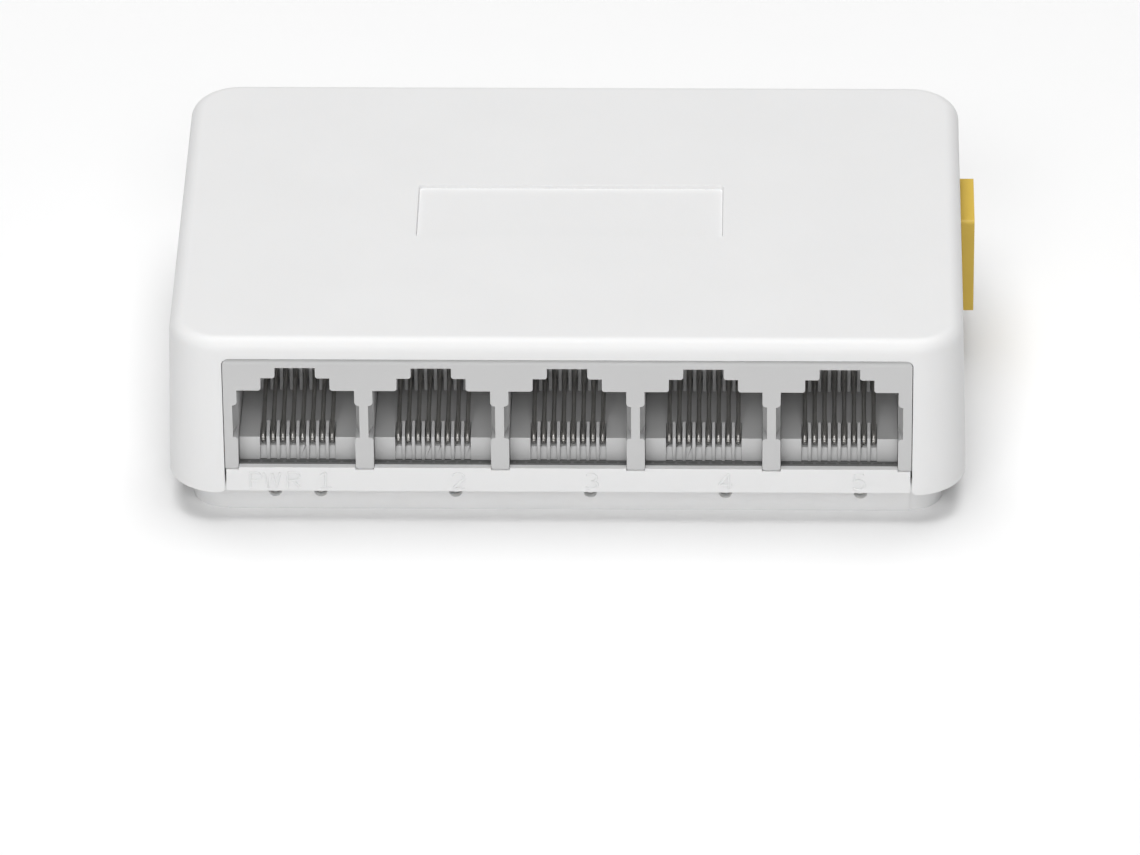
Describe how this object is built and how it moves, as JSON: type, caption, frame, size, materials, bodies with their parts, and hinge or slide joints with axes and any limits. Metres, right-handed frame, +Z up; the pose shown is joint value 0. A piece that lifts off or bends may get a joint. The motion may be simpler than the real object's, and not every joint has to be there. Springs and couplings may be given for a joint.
{
  "type": "desktop network switch",
  "caption": "Small white desktop network switch: rounded cover over a set-back plinth, a row of network ports in front and a yellow barrel power socket on the side.",
  "frame": {"origin": "middle of the plinth's underside, under the centre of the case", "axes": "+X along the row of ports to the power socket's side, +Y from the ports to the back, +Z up from the table"},
  "size_m": [0.0837, 0.0532, 0.0218],
  "materials": {
    "case_white": "fine satin grain",
    "socket_grey": "satin moulded",
    "socket_yellow": "satin moulded",
    "contact_metal": "bright plated wire",
    "tinned_lead": "dull tin plate",
    "board_laminate": "solder resist over glass laminate",
    "package_black": "matt moulded epoxy",
    "capacitor_sleeve": "shrunk sleeve",
    "ferrite": "sintered ferrite",
    "ceramic_tan": "fired ceramic",
    "lamp_resin": "clear-white resin",
    "screw_steel": "zinc plated"
  },
  "bodies": {
    "case": {"top_cover": "case_white", "base_tray": "case_white", "circuit_board": "board_laminate", "jack_housing": "socket_grey", "contact_insert_1": "socket_grey", "contact_insert_2": "socket_grey", "contact_insert_3": "socket_grey", "contact_insert_4": "socket_grey", "contact_insert_5": "socket_grey", "contact_leads_1": "contact_metal", "contact_leads_2": "contact_metal", "contact_leads_3": "contact_metal", "contact_leads_4": "contact_metal", "contact_leads_5": "contact_metal", "dc_socket_body": "socket_yellow", "dc_centre_pin": "contact_metal", "dc_sleeve_tail": "contact_metal", "dc_switch_contact": "contact_metal", "magnetics_1": "package_black", "magnetics_2": "package_black", "magnetics_3": "package_black", "magnetics_4": "package_black", "magnetics_5": "package_black", "magnetics_leads": "tinned_lead", "switch_chip": "package_black", "switch_chip_leads": "tinned_lead", "crystal_can": "tinned_lead", "input_capacitor": "capacitor_sleeve", "output_capacitor": "capacitor_sleeve", "power_inductor": "ferrite", "buck_regulator": "package_black", "polarity_diode": "package_black", "chip_resistors": "package_black", "chip_capacitors": "ceramic_tan", "status_lamps": "lamp_resin", "lamp_leads": "tinned_lead", "board_screws": "screw_steel", "case_screws": "screw_steel"},
    "port_springs_1": {"contact_springs_1": "contact_metal"},
    "port_springs_2": {"contact_springs_2": "contact_metal"},
    "port_springs_3": {"contact_springs_3": "contact_metal"},
    "port_springs_4": {"contact_springs_4": "contact_metal"},
    "port_springs_5": {"contact_springs_5": "contact_metal"},
    "dc_spring": {"dc_sleeve_spring": "contact_metal"}
  },
  "joints": [
    {"name": "contact_springs_1_flex", "type": "hinge", "parent": "case", "child": "port_springs_1", "pos_m": [-0.02774, -0.02365, 0.0089], "axis": [-1, 0, 0], "range_deg": [0, 9], "stiffness_Nm_per_rad": 0.5},
    {"name": "contact_springs_2_flex", "type": "hinge", "parent": "case", "child": "port_springs_2", "pos_m": [-0.01377, -0.02365, 0.0089], "axis": [-1, 0, 0], "range_deg": [0, 9], "stiffness_Nm_per_rad": 0.5},
    {"name": "contact_springs_3_flex", "type": "hinge", "parent": "case", "child": "port_springs_3", "pos_m": [0.0002, -0.02365, 0.0089], "axis": [-1, 0, 0], "range_deg": [0, 9], "stiffness_Nm_per_rad": 0.5},
    {"name": "contact_springs_4_flex", "type": "hinge", "parent": "case", "child": "port_springs_4", "pos_m": [0.01417, -0.02365, 0.0089], "axis": [-1, 0, 0], "range_deg": [0, 9], "stiffness_Nm_per_rad": 0.5},
    {"name": "contact_springs_5_flex", "type": "hinge", "parent": "case", "child": "port_springs_5", "pos_m": [0.02814, -0.02365, 0.0089], "axis": [-1, 0, 0], "range_deg": [0, 9], "stiffness_Nm_per_rad": 0.5},
    {"name": "dc_sleeve_spring_flex", "type": "hinge", "parent": "case", "child": "dc_spring", "pos_m": [0.0305, 0.0098, 0.009], "axis": [0, 1, 0], "range_deg": [0, 3], "stiffness_Nm_per_rad": 0.5}
  ]
}
